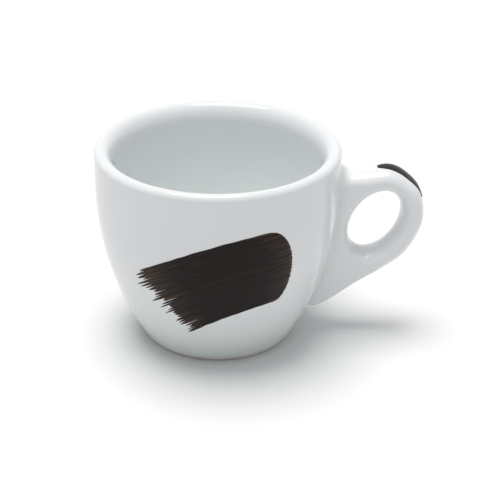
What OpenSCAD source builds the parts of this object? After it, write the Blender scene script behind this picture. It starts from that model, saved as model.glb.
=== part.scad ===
// Espresso cup of glazed porcelain: a thick-walled bowl with a bare foot ring, an ear-shaped handle
// stuck on with casting slip, a glaze coat, and two brushed enamel marks.
// Sizes are of the finished, glazed cup. The table is z = 0, the bowl's axis is Z, the handle points to +X.

/* [Bowl] */
// Diameter at the widest, from the belly up to the lip
cup_d = 62.4; // [56:0.2:72]
// Height from the table to the top of the lip
cup_h = 52; // [48:0.2:60]
// Height of the straight collar, from the belly to the top of the lip
collar_h = 10; // [8:0.2:14]
// Radius of the wall's curve from the belly down to the foot, seen from the side
wall_arc = 80; // [72:1:110]
// Thickness of the lip, from the outside to the straight inside under it
lip_t = 4.7; // [4:0.1:6]
// Rounding of the lip's outer edge
lip_r = 1.5; // [1:0.1:2]
// Height of the lip's long round on the inside
lip_roll = 4.8; // [3:0.1:7]
// Thickness of the floor at its middle
floor_t = 5; // [4:0.2:8]

/* [Foot] */
// Width of the flat ring that stands on the table
land_w = 2.6; // [2:0.1:4]
// Depth of the hollow under the floor
hollow_h = 1.6; // [1:0.1:2.4]
// Rounding of the foot's outer edge
heel_r = 1.5; // [1:0.1:2.4]
// Slant of the hollow's side, measured across it
hollow_slant = 1; // [0.5:0.1:2]

/* [Glaze] */
// Thickness of the fired glaze
glaze_t = 0.25; // [0.15:0.05:0.4]
// Height above the table at which the outside glaze ends
glaze_line = 1.8; // [1.4:0.1:3]
// Thickness of the fired slip that holds the handle
slip_t = 0.4; // [0.3:0.1:0.8]

/* [Handle] */
// How far the handle stands out from the belly
handle_reach = 21.5; // [18:0.5:26]
// How far the handle's crest lies below the lip
crest_drop = 5.8; // [5:0.2:9]
// Height at which the handle's lower edge runs into the wall
toe_z = 7; // [5:0.5:10]
// Thickness of the handle from side to side
handle_t = 9.4; // [7:0.2:11]
// Width of the handle's bow at its outermost point, from the finger hole to the outside
bow_w = 5.8; // [4.5:0.1:7]
// Width of the bow at its crest
crest_w = 6.4; // [5:0.1:7.5]
// Height of the finger hole
hole_h = 16.9; // [14:0.1:19]
// Gap from the belly line to the finger hole
web_w = 2.4; // [1.5:0.1:4]
// How far the top of the finger hole leans out from its middle
hole_lean = 2.2; // [0:0.1:3.5]
// How much wider each side of the handle is where it meets the wall
root_flare = 1.6; // [0.5:0.1:2.4]
// Distance from the wall over which the handle flares
root_run = 2.8; // [2:0.1:5]

/* [Enamel] */
// Thickness of the fired enamel
enamel_t = 0.08; // [0.05:0.01:0.2]
// Width of the flat brush
brush_w = 21; // [12:0.5:23]
// Length of the stroke along its middle, up to the shortest bristle marks
stroke_l = 31; // [22:0.5:34]
// Radius of the stroke's bend
stroke_bend = 46; // [36:1:80]
// How far the stroke's middle lies to the right of the front
stroke_x = 2.8; // [-5:0.1:5]
// Height of the stroke's middle above the table
stroke_z = 29; // [26:0.5:32]
// Slope of the stroke, falling to the left
stroke_tilt = 18; // [0:1:20]
// Length of the longest bristle mark at the lifted end
bristle_l = 5; // [2:0.5:7]
// Bristle marks at the lifted end
bristles = 9; // [5:1:14]
// Width of the dash on the handle's crest
dash_w = 4.4; // [2:0.2:6]

/* [Hidden] */
$fn = 96;

// Bowl
belly_r = cup_d / 2;
belly_z = cup_h - collar_h;
lip_z = cup_h - lip_r;
roll_z = cup_h - lip_roll;
inner_r = belly_r - lip_t;
floor_z = hollow_h + glaze_t + floor_t;
arc_x = belly_r - wall_arc;
past = 1;

// Radius of the glazed wall at height z, grown outwards by grow
function wall_r(z, grow = 0) =
    z >= belly_z ? belly_r + grow : arc_x + sqrt(pow(wall_arc + grow, 2) - pow(belly_z - z, 2));

// The heel's round touches both the wall, at heel_top, and the table, at heel_x
heel_arc = wall_arc - glaze_t - heel_r;
heel_x = arc_x + sqrt(pow(heel_arc, 2) - pow(belly_z - heel_r, 2));
heel_top = heel_r - heel_r * (belly_z - heel_r) / heel_arc;
hollow_r = heel_x - land_w;

// Everything inside the outer wall, from the table to the top of the lip
module filled_2d(inset) {
    intersection() {
        translate([arc_x, belly_z]) circle(wall_arc - inset, $fn = 720);
        square([cup_d, belly_z]);
    }
    translate([0, belly_z]) square([belly_r - inset, lip_z - belly_z]);
    translate([0, belly_z]) square([belly_r - lip_r, cup_h - inset - belly_z]);
    translate([belly_r - lip_r, lip_z]) circle(lip_r - inset);
}

// The space for the coffee: half an egg under a straight collar that opens over the lip's inner round
module cavity_2d(inset) {
    translate([0, belly_z]) scale([inner_r + inset, belly_z - floor_z + inset]) circle(1, $fn = 360);
    translate([0, belly_z]) square([inner_r + inset, roll_z - belly_z]);
    translate([0, roll_z]) difference() {
        square([belly_r - lip_r, lip_roll + past]);
        translate([belly_r - lip_r, 0]) scale([lip_t - lip_r - inset, lip_roll - inset]) circle(1);
    }
}

// The wall with its lip, seen in section: a tight round outside and a long one inside
module wall_2d(inset) {
    difference() {
        filled_2d(inset);
        cavity_2d(inset);
    }
}

// What the rounded heel leaves of the foot
module heel_2d() {
    square([heel_x, heel_r]);
    translate([heel_x, heel_r]) circle(heel_r);
    translate([0, heel_top]) square([cup_d, cup_h]);
}

module hollow_2d(depth) {
    polygon([[0, -past], [hollow_r, -past], [hollow_r, 0], [hollow_r - hollow_slant, depth], [0, depth]]);
}

module bowl() color("whitesmoke") rotate_extrude() difference() {
    intersection() {
        wall_2d(glaze_t);
        heel_2d();
    }
    hollow_2d(hollow_h + glaze_t);
}

// The coat inside, over the lip and down the outside, open where the handle stands
module bowl_glaze() color("white") difference() {
    rotate_extrude() difference() {
        wall_2d(0);
        wall_2d(glaze_t);
        translate([0, -past]) square([cup_d, glaze_line + past]);
    }
    ear(0);
}

// The glaze left in the hollow, inside the wiped ring
module base_glaze() color("white") translate([0, 0, hollow_h])
    cylinder(h = glaze_t, r = hollow_r - hollow_slant);

// Handle, drawn in its middle plane as pairs of points: t runs round the finger hole
ear_h = cup_h - crest_drop - toe_z;
hole_b = hole_h / 2;
hole_z = toe_z + ear_h - crest_w - hole_b;
hole_half = (handle_reach - bow_w - web_w) / 2;
hole_a = sqrt(pow(hole_half, 2) - pow(hole_lean, 2));
hole_x = belly_r + web_w + hole_half;
edge_r = bow_w / 2;
rings = 48;
sides = 20;

// Outline of the ear at even angles round the hole, from its outermost point up over the crest to the wall,
// down inside the wall, out to the toe and along the underside. Free knots are shares of the reach from the
// belly and of the height from toe to crest. Those at the wall are shares of the lip's thickness, measured
// from the wall's skin inwards, and of the same height.
ear_over = [[1, 0.616], [0.96, 0.813], [0.81, 0.927], [0.59, 0.995], [0.29, 0.979]];
ear_at_wall = [[0.364, 0.938], [0.389, 0.616], [0.383, 0.087], [-0.39, -0.006]];
ear_under = [[0.21, 0.166], [0.53, 0.2725], [0.82, 0.402]];

function free_knot(k) = [belly_r + k[0] * handle_reach, toe_z + k[1] * ear_h];
function wall_knot(k) =
    let (z = toe_z + k[1] * ear_h)
    [wall_r(z) - k[0] * lip_t, z];
ear_knots = [
    for (k = ear_over) free_knot(k),
    for (k = ear_at_wall) wall_knot(k),
    for (k = ear_under) free_knot(k)
];
knot_angle = 360 / len(ear_knots);

function ear_knot(i) = ear_knots[(i + len(ear_knots)) % len(ear_knots)];
// Smooth curve through four knots, between the middle two
function curve(a, b, c, d, s) =
    (2 * b + (c - a) * s + (2 * a - 5 * b + 4 * c - d) * s * s + (3 * b - a - 3 * c + d) * s * s * s) / 2;
function ear_out(t) =
    let (i = floor(t / knot_angle))
    curve(ear_knot(i - 1), ear_knot(i), ear_knot(i + 1), ear_knot(i + 2), t / knot_angle - i);
function hole_edge(t) = [hole_x + hole_a * cos(t) + hole_lean * sin(t), hole_z + hole_b * sin(t)];

// Extra half width of the handle where its side is d from the wall
function flare(d) = root_flare * pow(1 - min(max(d / root_run, 0), 1), 2);

// Point of the ear's skin at t round the hole and q round the section, a plate with rounded edges
function ear_point(t, q, grow) =
    let (
        inside = hole_edge(t),
        outside = ear_out(t),
        half = norm(outside - inside) / 2,
        along = (outside - inside) / (2 * half),
        round = min(half, edge_r),
        out = sign(cos(q)) * (half - round) + (round + grow) * cos(q),
        p = (inside + outside) / 2 + along * out,
        extra = flare(norm([p[0], handle_t / 2]) - wall_r(p[1])),
        wide = handle_t / 2 + grow + extra,
        lift = extra * max(along[1] * cos(q), 0)
    )
    [p[0], wide * sin(q), p[1] + lift];

module ear(grow) {
    skin = [for (i = [0:rings - 1], j = [0:sides - 1]) ear_point(360 * i / rings, 360 * j / sides, grow)];
    faces = [for (i = [0:rings - 1], j = [0:sides - 1])
        let (
            a = i * sides + j,
            b = i * sides + (j + 1) % sides,
            c = (i + 1) % rings * sides + j,
            d = (i + 1) % rings * sides + (j + 1) % sides
        )
        each [[a, c, b], [b, c, d]]];
    polyhedron(skin, faces);
}

module handle() color("whitesmoke") difference() {
    ear(-glaze_t);
    rotate_extrude() filled_2d(glaze_t - slip_t);
}

module slip_joint() color("gainsboro") intersection() {
    ear(-glaze_t);
    rotate_extrude() difference() {
        filled_2d(glaze_t - slip_t);
        filled_2d(glaze_t);
    }
}

module handle_glaze() color("white") difference() {
    ear(0);
    ear(-glaze_t);
    rotate_extrude() filled_2d(glaze_t);
}

// Brush stroke, drawn flat as the front shows it: u runs along the bend from its middle, w across it
function stroke_at(u, w) =
    let (a = u / stroke_bend * 180 / PI)
    [(stroke_bend + w) * sin(a), (stroke_bend + w) * cos(a) - stroke_bend];
// Length of bristle mark i, uneven as a hand leaves it
function bristle(i) = bristle_l * (0.35 + 0.65 * pow(sin(77 * i + 40), 2));

module stroke_2d() {
    start = stroke_l / 2;
    steps = 12;
    pitch = brush_w / bristles;
    tuft = 0.25;
    corner = brush_w / 4;
    top = [for (i = [0:steps]) stroke_at(-start + (stroke_l - corner) * i / steps, brush_w / 2)];
    blunt = [for (a = [60:-30:-60]) stroke_at(start - corner + corner * cos(a), brush_w / 2 * sin(a))];
    bottom = [for (i = [steps:-1:0]) stroke_at(-start + (stroke_l - corner) * i / steps, -brush_w / 2)];
    tips = [for (i = [0:bristles - 1], k = [0:2])
        stroke_at(-start - (k == 1 ? bristle(i) : tuft), -brush_w / 2 + pitch * (i + k * (1 - tuft) / 2))];
    polygon(concat(top, blunt, bottom, tips));
}

module brush_stroke() color("#2e211b") intersection() {
    rotate([0, 0, 180]) rotate_extrude(angle = 180) difference() {
        filled_2d(-enamel_t);
        filled_2d(0);
    }
    translate([stroke_x, 0, stroke_z]) rotate([90, 0, 0])
        linear_extrude(cup_d) rotate(stroke_tilt) stroke_2d();
}

// Dash on the crest: a leaf of enamel on the skin of the ear
dash_start_angle = 24;
dash_end_angle = 108;
dash_rows = 16;
dash_cols = 6;
function dash_half(s) = asin(dash_w / handle_t * sqrt(sin(180 * (0.02 + 0.96 * s))));

function dash_point(i, j, grow) =
    let (s = i / dash_rows, q = dash_half(s) * (2 * j / dash_cols - 1))
    ear_point(dash_start_angle + (dash_end_angle - dash_start_angle) * s, q, grow);

module handle_stroke() {
    wide = dash_cols + 1;
    count = wide * (dash_rows + 1);
    points = [for (g = [enamel_t, 0], i = [0:dash_rows], j = [0:dash_cols]) dash_point(i, j, g)];
    cells = [for (i = [0:dash_rows - 1], j = [0:dash_cols - 1]) i * wide + j];
    rim = concat(
        [for (j = [0:dash_cols]) j],
        [for (i = [1:dash_rows]) i * wide + dash_cols],
        [for (j = [dash_cols - 1:-1:0]) dash_rows * wide + j],
        [for (i = [dash_rows - 1:-1:1]) i * wide]
    );
    color("#2e211b") polyhedron(points, concat(
        [for (a = cells) each [[a, a + wide, a + 1], [a + 1, a + wide, a + wide + 1]]],
        [for (a = cells) let (b = a + count) each [[b, b + 1, b + wide], [b + 1, b + wide + 1, b + wide]]],
        [for (k = [0:len(rim) - 1])
            let (a = rim[k], b = rim[(k + 1) % len(rim)])
            each [[a, b, a + count], [b, b + count, a + count]]]
    ));
}

bowl();
handle();
slip_joint();
bowl_glaze();
handle_glaze();
base_glaze();
brush_stroke();
handle_stroke();
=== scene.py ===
import math
import random

import bmesh
import bpy
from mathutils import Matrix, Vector, noise


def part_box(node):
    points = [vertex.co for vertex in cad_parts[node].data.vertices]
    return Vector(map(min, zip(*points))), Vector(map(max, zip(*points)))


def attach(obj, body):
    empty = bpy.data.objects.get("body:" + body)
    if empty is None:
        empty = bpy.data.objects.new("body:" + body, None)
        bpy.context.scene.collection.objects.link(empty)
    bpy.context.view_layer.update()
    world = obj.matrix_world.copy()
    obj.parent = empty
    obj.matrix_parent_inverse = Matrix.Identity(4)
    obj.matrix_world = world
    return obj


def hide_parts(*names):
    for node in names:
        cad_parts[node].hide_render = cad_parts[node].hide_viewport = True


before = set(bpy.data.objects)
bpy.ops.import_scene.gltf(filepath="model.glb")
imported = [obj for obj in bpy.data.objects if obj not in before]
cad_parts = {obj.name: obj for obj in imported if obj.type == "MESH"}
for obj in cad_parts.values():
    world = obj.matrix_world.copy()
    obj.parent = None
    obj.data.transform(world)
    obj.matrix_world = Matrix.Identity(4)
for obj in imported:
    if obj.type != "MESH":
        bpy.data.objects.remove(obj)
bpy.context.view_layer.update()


# Bowl
# Hard porcelain, slip-cast in a plaster mould and fired to biscuit. The wall is one wide arc under a straight
# collar, the inside is half an egg that opens at the lip, and the foot ring is wiped bare for the kiln shelf.
# Lengths are in millimetres, and a finished mesh is scaled to metres.

metres = 0.001
cup_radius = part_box("bowl_glaze")[1].y / metres
cup_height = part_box("bowl_glaze")[1].z / metres
collar_height = 10
wall_arc = 80
lip_thickness = 4.7
lip_round = 1.5
lip_roll = 4.8
floor_thickness = 5
foot_ring_width = 2.6
hollow_depth = 1.6
hollow_slant = 1
heel_round = 1.5
ring_edge_round = 0.3
glaze_thickness = 0.25

belly_z = cup_height - collar_height
lip_z = cup_height - lip_round
roll_z = cup_height - lip_roll
inner_radius = cup_radius - lip_thickness
floor_z = hollow_depth + glaze_thickness + floor_thickness
arc_centre = cup_radius - wall_arc
heel_arc = wall_arc - glaze_thickness - heel_round
heel_x = arc_centre + math.sqrt(heel_arc ** 2 - (belly_z - heel_round) ** 2)
heel_angle = math.degrees(math.asin((belly_z - heel_round) / heel_arc))
hollow_radius = heel_x - foot_ring_width


def arc(centre, radii, start, end, steps):
    """Points (r, z) on a round or oval arc, from one angle in degrees to another."""
    angles = [math.radians(start + (end - start) * i / steps) for i in range(steps + 1)]
    return [(centre[0] + radii[0] * math.cos(a), centre[1] + radii[1] * math.sin(a)) for a in angles]


def wall_outline(inset, lowest_angle, fineness):
    """The wall's skin, pushed in by inset: from the floor's middle, over the lip and down the outside."""
    egg = (inner_radius + inset, belly_z - floor_z + inset)
    inside = arc((0, belly_z), egg, -90, 0, 40 * fineness)
    roll_radii = (lip_thickness - lip_round - inset, lip_roll - inset)
    roll = arc((cup_radius - lip_round, roll_z), roll_radii, 180, 90, 12 * fineness)
    lip = arc((cup_radius - lip_round, lip_z), (lip_round - inset,) * 2, 90, 0, 8 * fineness)
    outside = arc((arc_centre, belly_z), (wall_arc - inset,) * 2, 0, -lowest_angle, 24 * fineness)
    return inside + roll + lip[1:] + outside


def as_piece(name, bm):
    """Makes a shaped bmesh, in millimetres, into a smooth object in the frame."""
    bmesh.ops.scale(bm, vec=(metres,) * 3, verts=bm.verts)
    mesh = bpy.data.meshes.new(name)
    bm.to_mesh(mesh)
    bm.free()
    mesh.shade_smooth()
    piece = bpy.data.objects.new(name, mesh)
    bpy.context.scene.collection.objects.link(piece)
    return piece


def turned(name, outline, turns=192):
    """A shell of revolution from an outline that leaves the axis and comes back to it."""
    bm = bmesh.new()
    points = [bm.verts.new((r, 0, z)) for r, z in outline]
    lines = [bm.edges.new(pair) for pair in zip(points, points[1:])]
    bmesh.ops.spin(bm, geom=points + lines, cent=(0, 0, 0), axis=(0, 0, 1), angle=2 * math.pi, steps=turns,
                   use_merge=True)
    bmesh.ops.remove_doubles(bm, verts=bm.verts, dist=1e-4)
    bmesh.ops.recalc_face_normals(bm, faces=bm.faces)
    if bm.calc_volume(signed=True) < 0:
        bmesh.ops.reverse_faces(bm, faces=bm.faces)
    return as_piece(name, bm)


def new_material(name):
    """An empty surface material: the material, its shader, and functions that add a node and a link."""
    material = bpy.data.materials.new(name)
    material.use_nodes = True
    tree = material.node_tree
    shader = tree.nodes["Principled BSDF"]

    def node(kind, **settings):
        made = tree.nodes.new(kind)
        for key, value in settings.items():
            if key in made.inputs:
                made.inputs[key].default_value = value
            else:
                setattr(made, key, value)
        return made

    return material, shader, node, tree.links.new


def biscuit_finish():
    """Bare fired porcelain: dry, off-white and finely grained, with a few grey specks of kiln dust."""
    material, shader, node, link = new_material("bare porcelain")
    place = node("ShaderNodeTexCoord")
    grain = node("ShaderNodeTexNoise", Scale=2600, Detail=3)
    cloud = node("ShaderNodeTexNoise", Scale=160, Detail=2)
    dust = node("ShaderNodeTexVoronoi", Scale=700)
    speck = node("ShaderNodeMapRange", **{"From Min": 0.04, "From Max": 0.1, "To Min": 0.55, "To Max": 1})
    tone = node("ShaderNodeValToRGB")
    tone.color_ramp.elements[0].position = 0.35
    tone.color_ramp.elements[0].color = (0.70, 0.67, 0.61, 1)
    tone.color_ramp.elements[1].position = 0.65
    tone.color_ramp.elements[1].color = (0.80, 0.78, 0.74, 1)
    dusty = node("ShaderNodeMix", data_type="RGBA", blend_type="MULTIPLY")
    dusty.inputs["Factor"].default_value = 1
    bump = node("ShaderNodeBump", Strength=0.35, Distance=0.00006)
    for texture in (grain, cloud, dust):
        link(place.outputs["Object"], texture.inputs["Vector"])
    link(cloud.outputs["Fac"], tone.inputs["Fac"])
    link(dust.outputs["Distance"], speck.inputs["Value"])
    link(tone.outputs["Color"], dusty.inputs["A"])
    link(speck.outputs["Result"], dusty.inputs["B"])
    link(dusty.outputs["Result"], shader.inputs["Base Color"])
    link(grain.outputs["Fac"], bump.inputs["Height"])
    link(bump.outputs["Normal"], shader.inputs["Normal"])
    shader.inputs["Roughness"].default_value = 0.85
    shader.inputs["Specular IOR Level"].default_value = 0.3
    return material


heel = arc((heel_x, heel_round), (heel_round, heel_round), -heel_angle, -90, 10)
ring_edge = arc((hollow_radius + ring_edge_round, ring_edge_round), (ring_edge_round,) * 2, -90, -180, 6)
hollow_top = hollow_depth + glaze_thickness
hollow = [(hollow_radius - hollow_slant, hollow_top), (0, hollow_top)]
bowl = turned("bowl_body", wall_outline(glaze_thickness, heel_angle, 1) + heel + ring_edge + hollow)
biscuit = biscuit_finish()
bowl.data.materials.append(biscuit)
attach(bowl, "root")
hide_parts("bowl")


# Handle
# The ear is cast of the same porcelain in a mould of its own: a plate with rounded edges, pierced by a
# leaning oval finger hole. It is trimmed to the wall, stuck on leather-hard and sponged to a fillet there.

handle_reach = 21.5
crest_drop = 5.8
toe_z = 7
handle_thickness = 9.4
bow_width = 5.8
crest_width = 6.4
hole_height = 16.9
hole_from_belly = 2.4
hole_lean = 2.2
edge_fullness = 1.15
root_fillet = 2.5
toe_fillet = 0.9
fillet_grows_from = 1
fillet_grows_over = 7
root_sink = 0.03
root_depth = 5
toe_out = 1.8
ear_rings = 192
ear_section_points = 144

ear_height = cup_height - crest_drop - toe_z
edge_round = bow_width / 2
hole_half_height = hole_height / 2
hole_z = cup_height - crest_drop - crest_width - hole_half_height
hole_half_width = (handle_reach - bow_width - hole_from_belly) / 2
hole_x = cup_radius + hole_from_belly + hole_half_width
hole_upright = math.sqrt(hole_half_width ** 2 - hole_lean ** 2)


def wall_radius(z):
    """Radius of the glazed wall at a height."""
    return cup_radius if z >= belly_z else arc_centre + math.sqrt(wall_arc ** 2 - (belly_z - z) ** 2)


def free_knot(out, up):
    """A point of the ear's outline, from shares of its reach from the belly and of its height."""
    return Vector((cup_radius + out * handle_reach, toe_z + up * ear_height))


def wall_knot(depth, up):
    """A point of the outline at the wall, at a depth inside it or, below 0, out of it."""
    z = toe_z + up * ear_height
    return Vector((wall_radius(z) - depth, z))


ear_over = [(1, 0.616), (0.96, 0.813), (0.81, 0.927), (0.59, 0.995), (0.29, 0.979)]
ear_at_wall = [(root_depth, 0.923), (root_depth, 0.616), (root_depth, 0.12), (-toe_out, -0.006)]
ear_under = [(0.21, 0.166), (0.53, 0.2725), (0.82, 0.402)]
ear_knots = [free_knot(*k) for k in ear_over]
ear_knots += [wall_knot(*k) for k in ear_at_wall]
ear_knots += [free_knot(*k) for k in ear_under]


def ear_outline(turn):
    """The ear's outer edge in its middle plane: a smooth curve through the knots, for a turn of 0 to 1."""
    count = len(ear_knots)
    step, s = divmod(turn % 1 * count, 1)
    a, b, c, d = (ear_knots[(int(step) + k) % count] for k in (-1, 0, 1, 2))
    return (2 * b + (c - a) * s + (2 * a - 5 * b + 4 * c - d) * s ** 2 + (3 * b - a - 3 * c + d) * s ** 3) / 2


def hole_edge(turn):
    """The finger hole's edge in the middle plane."""
    a = turn * 2 * math.pi
    return Vector((hole_x + hole_upright * math.cos(a) + hole_lean * math.sin(a),
                   hole_z + hole_half_height * math.sin(a)))


def ear_point(turn, around):
    """A point of the ear's skin: turn runs round the hole, and around runs round the ear's section."""
    inside, outside = hole_edge(turn), ear_outline(turn)
    half = (outside - inside).length / 2
    squareness = 2 * max(half / edge_round, 1) ** edge_fullness
    side = -1 if around % 1 < 0.5 else 1
    across = -math.cos(around * 2 * math.pi)
    thick = handle_thickness / 2 * math.sqrt(max(1 - abs(across) ** squareness, 0))
    middle = (inside + outside) / 2 + (outside - inside) / 2 * across
    return Vector((middle.x, side * thick, middle.y))


def ear_normal(turn, around):
    """Direction straight out of the ear's skin."""
    step = 0.0015
    along = ear_point(turn + step, around) - ear_point(turn - step, around)
    round_it = ear_point(turn, around + step) - ear_point(turn, around - step)
    return round_it.cross(along).normalized()


def wall_gap(p):
    """Distance of a point from the glazed wall, and the direction straight out of the wall."""
    radial = Vector((p.x, p.y, 0)).normalized()
    if p.z >= belly_z:
        return p.xy.length - cup_radius, radial
    arm = radial * (p.xy.length - arc_centre) + Vector((0, 0, p.z - belly_z))
    return arm.length - wall_arc, arm.normalized()


def fillet_radius(z):
    """Radius of the root's fillet, which runs out towards the toe."""
    s = min(max((z - toe_z - fillet_grows_from) / fillet_grows_over, 0), 1)
    return toe_fillet + (root_fillet - toe_fillet) * s * s * (3 - 2 * s)


def fillet_turn(p):
    """How far round the root's fillet a point of the ear is pulled, in radians: none away from the wall."""
    return max(1 - wall_gap(p)[0] / fillet_radius(p.z), 0)


def filleted(turn, around):
    """A point of the ear's skin, bent into the fillet that runs out along the wall."""
    p = ear_point(turn, around)
    bend = min(fillet_turn(p), math.pi / 2)
    if bend == 0:
        return p
    normal, out = ear_normal(turn, around), wall_gap(p)[1]
    aside = (normal - out * normal.dot(out)).normalized()
    radius = fillet_radius(p.z)
    p = p + aside * radius * (1 - math.cos(bend))
    gap, out = wall_gap(p)
    return p + out * (radius * (1 - math.sin(bend)) - root_sink * math.sin(bend) ** 4 - gap)


def is_buried(place):
    """Whether a place on the ear's skin, given by its turn and around, lies past the end of the fillet."""
    return fillet_turn(ear_point(*place)) > math.pi / 2


def wall_line(hidden, clear):
    """The place between a buried and a clear one where the fillet ends on the wall, by halving."""
    halvings = 14
    for _ in range(halvings):
        middle = (hidden + clear) / 2
        if is_buried(middle):
            hidden = middle
        else:
            clear = middle
    return hidden


def ear_skin(depth):
    """The ear's skin at a depth under the glazed surface, up to the line where its fillet meets the wall."""
    bm = bmesh.new()
    bmesh.ops.create_grid(bm, x_segments=ear_rings, y_segments=ear_section_points, size=0.5)
    place = {v: v.co.xy + Vector((0.5, 0.5)) for v in bm.verts}
    buried = {v for v in bm.verts if is_buried(place[v])}
    hidden_faces = [f for f in bm.faces if buried.issuperset(f.verts)]
    bmesh.ops.delete(bm, geom=hidden_faces, context="FACES")
    for v in bm.verts:
        at = place[v]
        if v in buried:
            clear = [place[w] for f in v.link_faces for w in f.verts if w not in buried]
            at = wall_line(at, min(clear, key=lambda q: (q - place[v]).length))
        v.co = filleted(*at)
    bmesh.ops.remove_doubles(bm, verts=bm.verts, dist=1e-3)
    bmesh.ops.recalc_face_normals(bm, faces=bm.faces)
    bm.normal_update()
    for v, sunk in [(v, v.co - v.normal * depth) for v in bm.verts]:
        v.co = sunk
    return bm


bm = ear_skin(glaze_thickness)
root_edge = [e for e in bm.edges if e.is_boundary]
root_cap = bmesh.ops.extrude_edge_only(bm, edges=root_edge)["geom"]
cap_points = [g for g in root_cap if isinstance(g, bmesh.types.BMVert)]
cap_middle = sum((v.co for v in cap_points), Vector()) / len(cap_points)
bmesh.ops.pointmerge(bm, verts=cap_points, merge_co=cap_middle)
bmesh.ops.recalc_face_normals(bm, faces=bm.faces)
handle = as_piece("handle_body", bm)
handle.data.materials.append(biscuit)
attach(handle, "root")
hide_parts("handle")


# Slip joint
# A smear of casting slip between the wall and the ear, which fires to the same bare porcelain. It is hidden
# under the glaze, so the frame's own solid stays.

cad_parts["slip_joint"].material_slots[0].material = biscuit


# Bowl glaze
# One coat of clear glaze over the inside, the lip and the outside, melted to a glassy skin. It is a little
# greener where it pools on the floor, with painted shade there and towards the foot, and it stops above
# the foot in a soft roll.

glaze_line = 1.8
roll_height = 0.35
roll_bulge = 0.07
run_height = 30
# The coat also has painted shade towards the foot, on the lower wall under the belly.
foot_pool_and_shade = 0.9


def with_pool_and_shade(piece, share):
    """Writes how much the glaze pools and how much shade is painted at each point, from 0 to 1, into the
    mesh.
    """
    pool_and_shade = piece.data.attributes.new("pool_and_shade", "FLOAT", "POINT")
    for point in piece.data.vertices:
        pool_and_shade.data[point.index].value = share(point.co / metres)


def glaze_finish():
    """Clear glaze on white porcelain: glassy, faintly uneven, and greener and darker where it is thick or has
    painted shade.
    """
    material, shader, node, link = new_material("clear glaze")
    place = node("ShaderNodeTexCoord")
    pool_and_shade = node("ShaderNodeAttribute", attribute_name="pool_and_shade")
    tone = node("ShaderNodeValToRGB")
    tone.color_ramp.elements[0].color = (0.87, 0.883, 0.895, 1)
    # The second colour is pooled glaze and painted shade: darker and greener.
    tone.color_ramp.elements[1].color = (0.70, 0.77, 0.74, 1)
    waves = node("ShaderNodeTexNoise", Scale=110, Detail=1)
    peel = node("ShaderNodeTexNoise", Scale=900, Detail=2)
    gloss = node("ShaderNodeMapRange", **{"To Min": 0.04, "To Max": 0.09})
    bump = node("ShaderNodeBump", Strength=0.06, Distance=0.0003)
    for texture in (waves, peel):
        link(place.outputs["Object"], texture.inputs["Vector"])
    link(pool_and_shade.outputs["Fac"], tone.inputs["Fac"])
    link(tone.outputs["Color"], shader.inputs["Base Color"])
    link(peel.outputs["Fac"], gloss.inputs["Value"])
    link(gloss.outputs["Result"], shader.inputs["Roughness"])
    link(waves.outputs["Fac"], bump.inputs["Height"])
    link(bump.outputs["Normal"], shader.inputs["Normal"])
    shader.inputs["IOR"].default_value = 1.5
    return material


def rolled(r, z):
    """A point of the coat's outline, swollen where the glaze gathers above its lower edge."""
    swell = roll_bulge * math.exp(-((z - glaze_line - roll_height) / roll_height) ** 2)
    return (r + swell if r > cup_radius / 2 and z < belly_z / 2 else r, z)


def line_angle(inset):
    """Angle on the wall's arc at which the coat ends, at a depth of inset under the skin."""
    return math.degrees(math.asin((belly_z - glaze_line) / (wall_arc - inset)))


skin = [rolled(r, z) for r, z in wall_outline(0, line_angle(0), 3)]
under_skin = wall_outline(glaze_thickness, line_angle(glaze_thickness), 1)
edge_middle = [(a + b) / 2 for a, b in zip(skin[-1], under_skin[-1])]
edge = arc(edge_middle, (glaze_thickness / 2, glaze_thickness / 2), -30, -150, 6)
bowl_glaze = turned("bowl_glaze_coat", skin + edge + under_skin[::-1])


def bowl_pool_and_shade(p):
    """Inside, the glaze gathers towards the floor, outside it thickens towards the foot, and both carry
    painted shade.
    """
    # Pooled glaze and painted shade: darker down into the cup, and on the outside towards the foot.
    if p.xy.length < wall_radius(p.z) - lip_round:
        return min((cup_height - p.z) / (cup_height - floor_z), 1) ** 2
    return foot_pool_and_shade * max(1 - p.z / run_height, 0) ** 1.5


with_pool_and_shade(bowl_glaze, bowl_pool_and_shade)
glaze = glaze_finish()
bowl_glaze.data.materials.append(glaze)
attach(bowl_glaze, "root")
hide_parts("bowl_glaze")


# Handle glaze
# The same coat of glaze around the ear, dipped with the bowl and melted on in the same firing. It runs into
# the coat on the bowl along the fillet, and pools a little there, with painted shade in the fillet's crease.

# Painted shade in the fillet's crease, together with the glaze that pools there.
fillet_pool_and_shade = 0.5


def handle_pool_and_shade(p):
    """The coat gathers in the fillet with painted shade, and at the wall it is as thick and as shaded as the
    bowl's.
    """
    near = min(fillet_turn(p), 1) ** 2
    return near * bowl_pool_and_shade(p) + fillet_pool_and_shade * 4 * near * (1 - near)


handle_glaze = as_piece("handle_glaze_coat", ear_skin(0))
coat = handle_glaze.modifiers.new("coat", "SOLIDIFY")
coat.thickness = glaze_thickness * metres
coat.offset = -1
with_pool_and_shade(handle_glaze, handle_pool_and_shade)
handle_glaze.data.materials.append(glaze)
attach(handle_glaze, "root")
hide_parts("handle_glaze")


# Base glaze
# Glaze left in the hollow under the cup when the ring is wiped. It lies flat and climbs a little up the
# hollow's slanted side. It is darker throughout, as pooled glaze and as painted shade under the cup.

base_glaze_climb = 0.9
meniscus = 1.6
base_pool_and_shade = 0.7

slant_at = hollow_radius - hollow_slant * (hollow_top - base_glaze_climb) / hollow_top
climb = arc((slant_at - meniscus, hollow_depth - base_glaze_climb), (meniscus, base_glaze_climb), 90, 0, 12)
base = [(0, hollow_depth)] + climb + [(hollow_radius - hollow_slant, hollow_top), (0, hollow_top)]
base_glaze = turned("base_glaze_pool", base)
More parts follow.
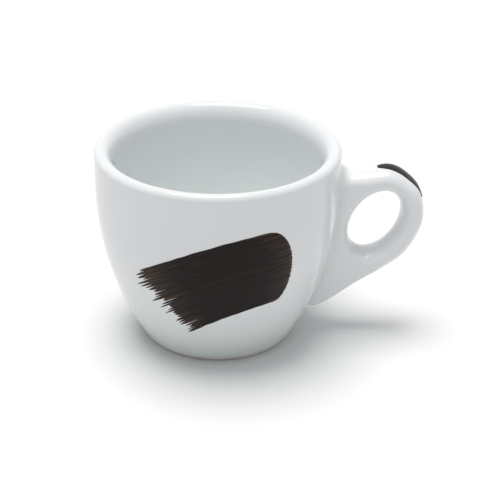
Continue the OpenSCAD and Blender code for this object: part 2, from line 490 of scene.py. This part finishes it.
# Pooled glaze and painted shade under the cup: the same darker, greener tone all over.
with_pool_and_shade(base_glaze, lambda p: base_pool_and_shade)
base_glaze.data.materials.append(glaze)
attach(base_glaze, "root")
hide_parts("base_glaze")


# Brush stroke
# Dark brown enamel swiped over the fired glaze in one pull with a flat bristle brush, and fired again. The
# brush lands on the right and lifts in ragged bristle marks on the left. Each bristle leaves a low ridge.

brush_width = 21
stroke_length = 31
stroke_bend = 46
stroke_x = 2.8
stroke_z = 29
stroke_tilt = math.radians(18)
tufts = 9
tuft_length = 5
tuft_least = 0.35
strands = 28
bristles_per_strand = 6
tip_stations = 10
body_stations = 46
tip_least = 0.3
tip_from_tuft = 0.4
tip_spread = 2.6
tip_taper = 0.45
border_wander = 0.35
notch_depth = 4
slit_share = 0.2
slit_run = 3
start_wander = 0.3
start_wave = 0.4
end_wander = 1.4
end_wave = 2.3
edge_wander = 0.16
landing_run = 7
lifting_run = 8
streak_width = 0.3
streak_thinning = 0.5
end_thinning = 0.08
least_load = 0.75
least_furrow = 0.25
ridge = 0.05
paint_edge = 0.015
paint_depth = 0.08


def on_wall(x, z, rise):
    """A point on the front of the bowl, raised off the glaze."""
    r = wall_radius(z) + rise
    return Vector((x, -math.sqrt(r ** 2 - x ** 2), z))


def stroke_point(u, w, rise):
    """A point of the stroke: u along its bend from the middle, w across it."""
    a = u / stroke_bend
    flat = Vector(((stroke_bend + w) * math.sin(a), (stroke_bend + w) * math.cos(a) - stroke_bend))
    x = flat.x * math.cos(stroke_tilt) - flat.y * math.sin(stroke_tilt)
    z = flat.x * math.sin(stroke_tilt) + flat.y * math.cos(stroke_tilt)
    return on_wall(stroke_x + x, stroke_z + z, rise)


def tuft_reach(share):
    """How far the tuft at this share of the brush's width drags past the stroke's body."""
    i = min(int(share * tufts), tufts - 1)
    uneven = math.sin(math.radians(77 * i + 40)) ** 2
    longest = tuft_length * (tuft_least + (1 - tuft_least) * uneven)
    inside = share * tufts - i
    return longest * (1 - abs(2 * inside - 1) ** 1.6)


def enamel_finish():
    """Fired enamel: nearly black where it is thick, brown where a bristle left it thin, with a soft shine."""
    material, shader, node, link = new_material("brown enamel")
    load = node("ShaderNodeAttribute", attribute_name="load")
    along = node("ShaderNodeUVMap", uv_map="strokes")
    stretch = node("ShaderNodeMapping")
    stretch.inputs["Scale"].default_value = (4, 75, 1)
    hairs = node("ShaderNodeTexNoise", Scale=1, Detail=3)
    shifted = node("ShaderNodeMath", operation="ADD")
    shifted.inputs[1].default_value = -0.5
    mixed = node("ShaderNodeMath", operation="ADD")
    tone = node("ShaderNodeValToRGB")
    tone.color_ramp.elements[0].position = 0.15
    tone.color_ramp.elements[0].color = (0.085, 0.052, 0.029, 1)
    tone.color_ramp.elements[1].position = 0.8
    tone.color_ramp.elements[1].color = (0.011, 0.0075, 0.0068, 1)
    gloss = node("ShaderNodeMapRange", **{"To Min": 0.5, "To Max": 0.3})
    bump = node("ShaderNodeBump", Strength=0.4, Distance=0.00004)
    link(along.outputs["UV"], stretch.inputs["Vector"])
    link(stretch.outputs["Vector"], hairs.inputs["Vector"])
    link(load.outputs["Fac"], shifted.inputs[0])
    link(hairs.outputs["Fac"], mixed.inputs[0])
    link(shifted.outputs["Value"], mixed.inputs[1])
    link(mixed.outputs["Value"], tone.inputs["Fac"])
    link(tone.outputs["Color"], shader.inputs["Base Color"])
    link(mixed.outputs["Value"], gloss.inputs["Value"])
    link(gloss.outputs["Result"], shader.inputs["Roughness"])
    link(hairs.outputs["Fac"], bump.inputs["Height"])
    link(bump.outputs["Normal"], shader.inputs["Normal"])
    shader.inputs["Specular IOR Level"].default_value = 0.15
    return material


hand = random.Random(11)
furrows = [hand.uniform(least_furrow, 1) for _ in range(strands * bristles_per_strand + 1)]
strand_load = [hand.uniform(least_load, 1) for _ in range(strands)]
tuft_tip = [tip_least + tip_from_tuft * tuft_reach((k + 0.5) / strands) for k in range(strands)]
strand_tip = [tip + tip_spread * hand.random() ** 2 for tip in tuft_tip]
border_notch = [hand.uniform(0, 1) ** 4 * notch_depth for _ in range(strands + 1)]
border_shift = [0] + [hand.uniform(-border_wander, border_wander) for _ in range(strands - 1)] + [0]
corner = brush_width / 4


def border_at(b):
    """Place of the border between two strands, across the brush."""
    return brush_width * ((b + border_shift[b]) / strands - 0.5)


def stroke_start(w):
    """Where the brush landed: a blunt round end, a little ragged."""
    blunt = stroke_length / 2 - corner + corner * math.sqrt(max(1 - (2 * w / brush_width) ** 2, 0))
    return blunt + start_wander * noise.noise((w / start_wave, 3, 0))


def stroke_end(w):
    """Where the brush lifted, and the bristles part."""
    return -stroke_length / 2 - tuft_length / 3 + end_wander * noise.noise((w / end_wave, 7, 0))


bm = bmesh.new()
load = bm.verts.layers.float.new("load")
strokes = bm.loops.layers.uv.new("strokes")
flat_place = {}
stations = tip_stations + body_stations
for k in range(strands):
    made = bmesh.ops.create_grid(bm, x_segments=stations, y_segments=bristles_per_strand, size=0.5)["verts"]
    low, high = border_at(k), border_at(k + 1)
    centre = (low + high) / 2
    for v in made:
        station, column = round((v.co.x + 0.5) * stations), v.co.y + 0.5
        bristle = k * bristles_per_strand + round(column * bristles_per_strand)
        across = low + (high - low) * column
        start, end = stroke_start(across), stroke_end(across)
        if station < tip_stations:
            left = station / tip_stations
            u = end - strand_tip[k] * (1 - left)
        else:
            left = 1
            u = end + (start - end) * (station - tip_stations) / body_stations
        notch = border_notch[k] * (1 - column) + border_notch[k + 1] * column
        slit = slit_share * min(max((end + notch - u) / slit_run, 0), 1)
        w = centre + (across - centre) * left ** tip_taper * (1 - slit)
        wobble = edge_wander * noise.noise((u * 0.35, math.copysign(5, w), 0)) * (2 * w / brush_width) ** 8
        if station in (0, stations) or bristle in (0, strands * bristles_per_strand):
            rise = paint_edge
        elif column in (0, 1):
            rise = 2 * paint_edge
        else:
            rise = 2 * paint_edge + ridge * furrows[bristle] * left
        v.co = stroke_point(u, w + wobble, rise)
        near_end = max(1 - (start - u) / landing_run, 1 - (u - end) / lifting_run, 0)
        streak = 0.5 + noise.noise((w / streak_width, u * 0.03, 0))
        v[load] = strand_load[k] * (1 - min(near_end, 1) * (end_thinning + streak_thinning * streak))
        flat_place[v] = (u / stroke_length, w / stroke_length)
for face in bm.faces:
    for loop in face.loops:
        loop[strokes].uv = flat_place[loop.vert]
bmesh.ops.remove_doubles(bm, verts=bm.verts, dist=2e-4)
bmesh.ops.recalc_face_normals(bm, faces=bm.faces)
brush_stroke = as_piece("brush_stroke_enamel", bm)
paint = brush_stroke.modifiers.new("paint", "SOLIDIFY")
paint.thickness = paint_depth * metres
paint.offset = -1
enamel = enamel_finish()
brush_stroke.data.materials.append(enamel)
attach(brush_stroke, "root")
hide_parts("brush_stroke")


# Handle stroke
# One dab of the same enamel along the crest of the ear, from the wall side over to the outside. It is pointed
# where the brush lands and lifts.

dash_start = 24 / 360
dash_end = 108 / 360
dash_width = 4.4
dash_blunt = 0.02
dash_wander = 0.05
dash_least_load = 0.55
dash_least_furrow = 0.2
dash_in_strokes = (0.6, 0.07)
dash_rows = 72
dash_columns = 30


def dash_half_width(s):
    """Half the dab's share of the way round the ear's section."""
    swell = math.sqrt(math.sin(math.pi * (dash_blunt + (1 - 2 * dash_blunt) * s)))
    return math.asin(dash_width / handle_thickness * swell) / (2 * math.pi)


bm = bmesh.new()
load = bm.verts.layers.float.new("load")
strokes = bm.loops.layers.uv.new("strokes")
flat_place = {}
bmesh.ops.create_grid(bm, x_segments=dash_rows, y_segments=dash_columns, size=0.5)
furrow = [hand.uniform(dash_least_furrow, 1) for _ in range(dash_columns + 1)]
for v in bm.verts:
    s, side = v.co.x + 0.5, 2 * v.co.y
    column = round((v.co.y + 0.5) * dash_columns)
    ragged = 1 + dash_wander * noise.noise((s * 9, side * 2, 5))
    turn = dash_start + (dash_end - dash_start) * s
    around = 0.5 + dash_half_width(s) * side * ragged
    at_rim = column in (0, dash_columns) or s < 1e-6 or s > 1 - 1e-6
    rise = paint_edge if at_rim else 2 * paint_edge + ridge * furrow[column]
    v.co = ear_point(turn, around) + ear_normal(turn, around) * rise
    v[load] = dash_least_load + (1 - dash_least_load) * furrow[column] * (1 - abs(side) ** 4)
    flat_place[v] = (s * dash_in_strokes[0], side * dash_in_strokes[1])
for face in bm.faces:
    for loop in face.loops:
        loop[strokes].uv = flat_place[loop.vert]
bmesh.ops.recalc_face_normals(bm, faces=bm.faces)
handle_stroke = as_piece("handle_stroke_enamel", bm)
paint = handle_stroke.modifiers.new("paint", "SOLIDIFY")
paint.thickness = paint_depth * metres
paint.offset = -1
handle_stroke.data.materials.append(enamel)
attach(handle_stroke, "root")
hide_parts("handle_stroke")


# Studio
# A table covered with white paper, under one wide soft light nearly straight above. A pale room fills the
# shadows. Lengths are in metres here, and the table top lies a hair under the foot ring.

floor_size = 3
floor_drop = 0.00005
sky_strength = 0.42
soft_light_strength = 0.7 * math.pi
soft_light_spread = math.radians(34)
soft_light_from = Vector((-0.1, 0.06, 1))

bm = bmesh.new()
bmesh.ops.create_grid(bm, x_segments=1, y_segments=1, size=floor_size)
bmesh.ops.translate(bm, vec=(0, 0, -floor_drop), verts=bm.verts)
floor_mesh = bpy.data.meshes.new("table_top")
bm.to_mesh(floor_mesh)
bm.free()
floor = bpy.data.objects.new("table_top", floor_mesh)
bpy.context.scene.collection.objects.link(floor)


def eye_switch(tree, lighting, seen):
    """One shader for the camera and for reflections, and another for the light that falls on the scene."""
    path = tree.nodes.new("ShaderNodeLightPath")
    either = tree.nodes.new("ShaderNodeMath")
    either.operation = "MAXIMUM"
    choose = tree.nodes.new("ShaderNodeMixShader")
    tree.links.new(path.outputs["Is Camera Ray"], either.inputs[0])
    tree.links.new(path.outputs["Is Glossy Ray"], either.inputs[1])
    tree.links.new(either.outputs["Value"], choose.inputs["Fac"])
    tree.links.new(lighting.outputs[0], choose.inputs[1])
    tree.links.new(seen.outputs[0], choose.inputs[2])
    return choose.outputs["Shader"]


paper, paper_shader, node, link = new_material("white paper")
paper_shader.inputs["Base Color"].default_value = (0.93, 0.93, 0.93, 1)
paper_shader.inputs["Roughness"].default_value = 0.9
paper_shader.inputs["Specular IOR Level"].default_value = 0
dull_paper = node("ShaderNodeBsdfDiffuse", Color=(0.8, 0.8, 0.8, 1))
paper_surface = eye_switch(paper.node_tree, dull_paper, paper_shader)
link(paper_surface, paper.node_tree.nodes["Material Output"].inputs["Surface"])
floor_mesh.materials.append(paper)

world = bpy.data.worlds.new("pale room")
bpy.context.scene.world = world
world.use_nodes = True
room = world.node_tree
room_light = room.nodes["Background"]
room_light.inputs["Color"].default_value = (0.95, 0.97, 1, 1)
room_light.inputs["Strength"].default_value = sky_strength
white_room = room.nodes.new("ShaderNodeBackground")
white_room.inputs["Color"].default_value = (1, 1, 1, 1)
white_room.inputs["Strength"].default_value = 1
room_surface = eye_switch(room, room_light, white_room)
room.links.new(room_surface, room.nodes["World Output"].inputs["Surface"])

soft_light = bpy.data.lights.new("soft_light", "SUN")
soft_light.energy = soft_light_strength
soft_light.angle = soft_light_spread
soft_light.color = (1, 0.99, 0.97)
lamp = bpy.data.objects.new("soft_light", soft_light)
lamp.rotation_mode = "QUATERNION"
lamp.rotation_quaternion = soft_light_from.to_track_quat("Z", "Y")
bpy.context.scene.collection.objects.link(lamp)


# Camera
# The viewpoint is a little above the cup, at arm's length, with the handle to the right. The frame is cut so
# that the cup's axis is left of the middle.

view_distance = 380
view_elevation = math.radians(27)
view_aim_z = 25
image_width = 480
focal_length = 1461
axis_column = 217.9

camera_data = bpy.data.cameras.new("camera")
camera_data.sensor_width = 36
camera_data.lens = camera_data.sensor_width * focal_length / image_width
camera_data.shift_x = (image_width / 2 - axis_column) / image_width
camera_data.clip_start = 0.01
camera = bpy.data.objects.new("camera", camera_data)
back = Vector((0, -math.cos(view_elevation), math.sin(view_elevation)))
camera.location = (Vector((0, 0, view_aim_z)) + back * view_distance) * metres
camera.rotation_mode = "QUATERNION"
camera.rotation_quaternion = back.to_track_quat("Z", "Y")
bpy.context.scene.collection.objects.link(camera)
bpy.context.scene.camera = camera
bpy.context.scene.view_settings.view_transform = "Standard"
